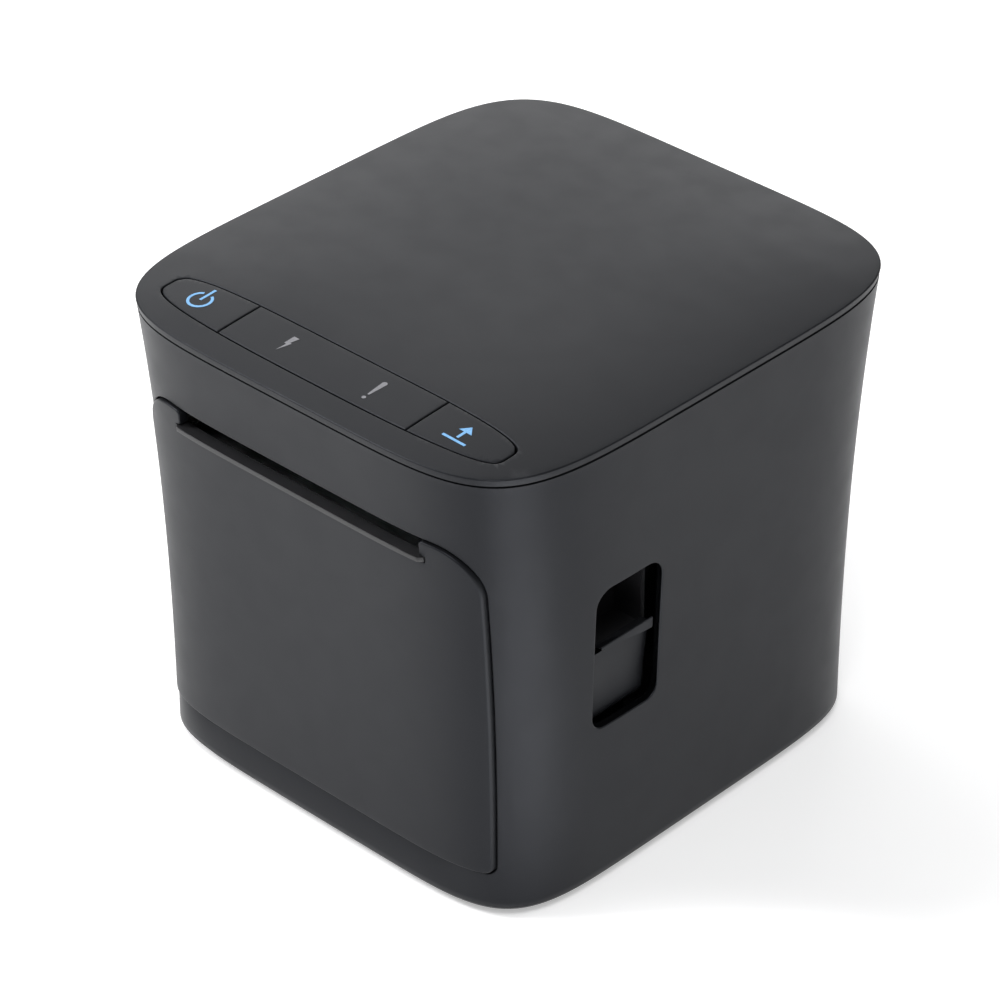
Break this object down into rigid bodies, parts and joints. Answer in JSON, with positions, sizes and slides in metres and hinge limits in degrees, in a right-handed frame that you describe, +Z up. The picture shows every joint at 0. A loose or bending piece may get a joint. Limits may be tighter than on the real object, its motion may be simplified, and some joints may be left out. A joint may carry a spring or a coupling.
{
  "type": "receipt printer",
  "caption": "Front-exit thermal receipt printer: flared black case, hinged front door with platen, print head, cutter, paper cradle, side release lever, top keys and rear sockets",
  "frame": {"origin": "middle of the footprint at the underside of the rubber feet", "axes": "+Z up, the door faces -Y, the release lever is on the +X side"},
  "size_m": [0.14, 0.1546, 0.135],
  "materials": {
    "case_plastic": "fine moulded texture",
    "inner_plastic": "matte",
    "motor": "satin",
    "rubber": "matte",
    "steel": "brushed",
    "aluminium": "satin",
    "ceramic": "glazed",
    "board": "solder mask",
    "gear_plastic": "acetal",
    "symbol_blue": "printed",
    "symbol_grey": "printed",
    "led": "clear"
  },
  "bodies": {
    "case": {"housing_shell": "case_plastic", "top_cover": "case_plastic", "base_plate": "case_plastic", "rubber_feet": "rubber", "base_screws": "steel", "rear_panel": "inner_plastic", "power_inlet": "inner_plastic", "usb_port": "steel", "network_port": "steel", "drawer_port": "inner_plastic", "main_board": "board", "board_screws": "steel", "paper_bucket": "inner_plastic", "paper_sensor": "inner_plastic", "frame_left": "steel", "frame_right": "steel", "frame_tie": "steel", "cover_switch": "inner_plastic", "head_pivot": "steel", "head_spring": "steel", "feed_motor": "motor", "idler_axle": "steel", "cutter_frame": "steel", "cutter_motor": "motor", "finger_pocket": "inner_plastic", "key_well": "inner_plastic", "status_panel": "case_plastic", "status_symbols": "symbol_grey", "power_spring": "steel", "feed_spring": "steel", "control_board": "board", "key_switches": "inner_plastic", "status_leds": "led", "lever_spring": "steel", "hinge_pins": "steel"},
    "door": {"door_panel": "case_plastic", "door_guide": "inner_plastic", "exit_lip": "inner_plastic", "fixed_blade": "steel", "platen_bushes": "gear_plastic"},
    "platen": {"platen_shaft": "steel", "platen_rubber": "rubber", "platen_gear": "gear_plastic"},
    "idler": {"idler_gear": "gear_plastic"},
    "pinion": {"motor_pinion": "steel"},
    "head": {"head_element": "ceramic", "head_heatsink": "aluminium"},
    "blade": {"cutter_blade": "steel"},
    "blade_pinion": {"cutter_pinion": "steel"},
    "latch": {"latch_shaft": "steel", "latch_hooks": "steel"},
    "lever": {"release_lever": "case_plastic"},
    "power": {"power_key": "case_plastic", "power_symbol": "symbol_blue"},
    "feed": {"feed_key": "case_plastic", "feed_symbol": "symbol_blue"}
  },
  "joints": [
    {"name": "door_hinge", "type": "hinge", "parent": "case", "child": "door", "pos_m": [0, -0.0642, 0.022], "axis": [1, 0, 0], "range_deg": [0, 80]},
    {"name": "platen_spin", "type": "hinge", "parent": "door", "child": "platen", "pos_m": [0, -0.06, 0.092], "axis": [1, 0, 0], "continuous": true},
    {"name": "idler_spin", "type": "hinge", "parent": "case", "child": "idler", "pos_m": [-0.05, -0.0447, 0.092], "axis": [1, 0, 0], "continuous": true},
    {"name": "pinion_spin", "type": "hinge", "parent": "case", "child": "pinion", "pos_m": [-0.05, -0.0326, 0.092], "axis": [1, 0, 0], "continuous": true},
    {"name": "head_tilt", "type": "hinge", "parent": "case", "child": "head", "pos_m": [0, -0.0475, 0.083], "axis": [-1, 0, 0], "range_deg": [0, 4], "stiffness_Nm_per_rad": 4, "springref_deg": -2.86},
    {"name": "lever_slide", "type": "slide", "parent": "case", "child": "lever", "axis": [0, 0, -1], "range_m": [0, 0.005], "stiffness_N_per_m": 300, "springref_m": -0.004, "deforming": ["lever_spring"]},
    {"name": "latch_turn", "type": "hinge", "parent": "case", "child": "latch", "pos_m": [0, -0.045, 0.076], "axis": [-1, 0, 0], "range_deg": [0, 10.8]},
    {"name": "blade_slide", "type": "slide", "parent": "case", "child": "blade", "axis": [0, -1, 0], "range_m": [0, 0.0055]},
    {"name": "blade_pinion_turn", "type": "hinge", "parent": "case", "child": "blade_pinion", "pos_m": [0.025, -0.031, 0.1035], "axis": [0, 0, 1], "range_deg": [0, 63.2]},
    {"name": "power_press", "type": "slide", "parent": "case", "child": "power", "axis": [0, 0, -1], "range_m": [0, 0.0008], "stiffness_N_per_m": 500, "springref_m": -0.0005, "deforming": ["power_spring"]},
    {"name": "feed_press", "type": "slide", "parent": "case", "child": "feed", "axis": [0, 0, -1], "range_m": [0, 0.0008], "stiffness_N_per_m": 500, "springref_m": -0.0005, "deforming": ["feed_spring"]}
  ],
  "couplings": [
    {"joint": "idler_spin", "follows": "platen_spin", "ratio": -0.9},
    {"joint": "pinion_spin", "follows": "platen_spin", "ratio": 1.8},
    {"joint": "latch_turn", "follows": "lever_slide", "rad_per_m": 37.037},
    {"joint": "blade_pinion_turn", "follows": "blade_slide", "rad_per_m": 200}
  ]
}
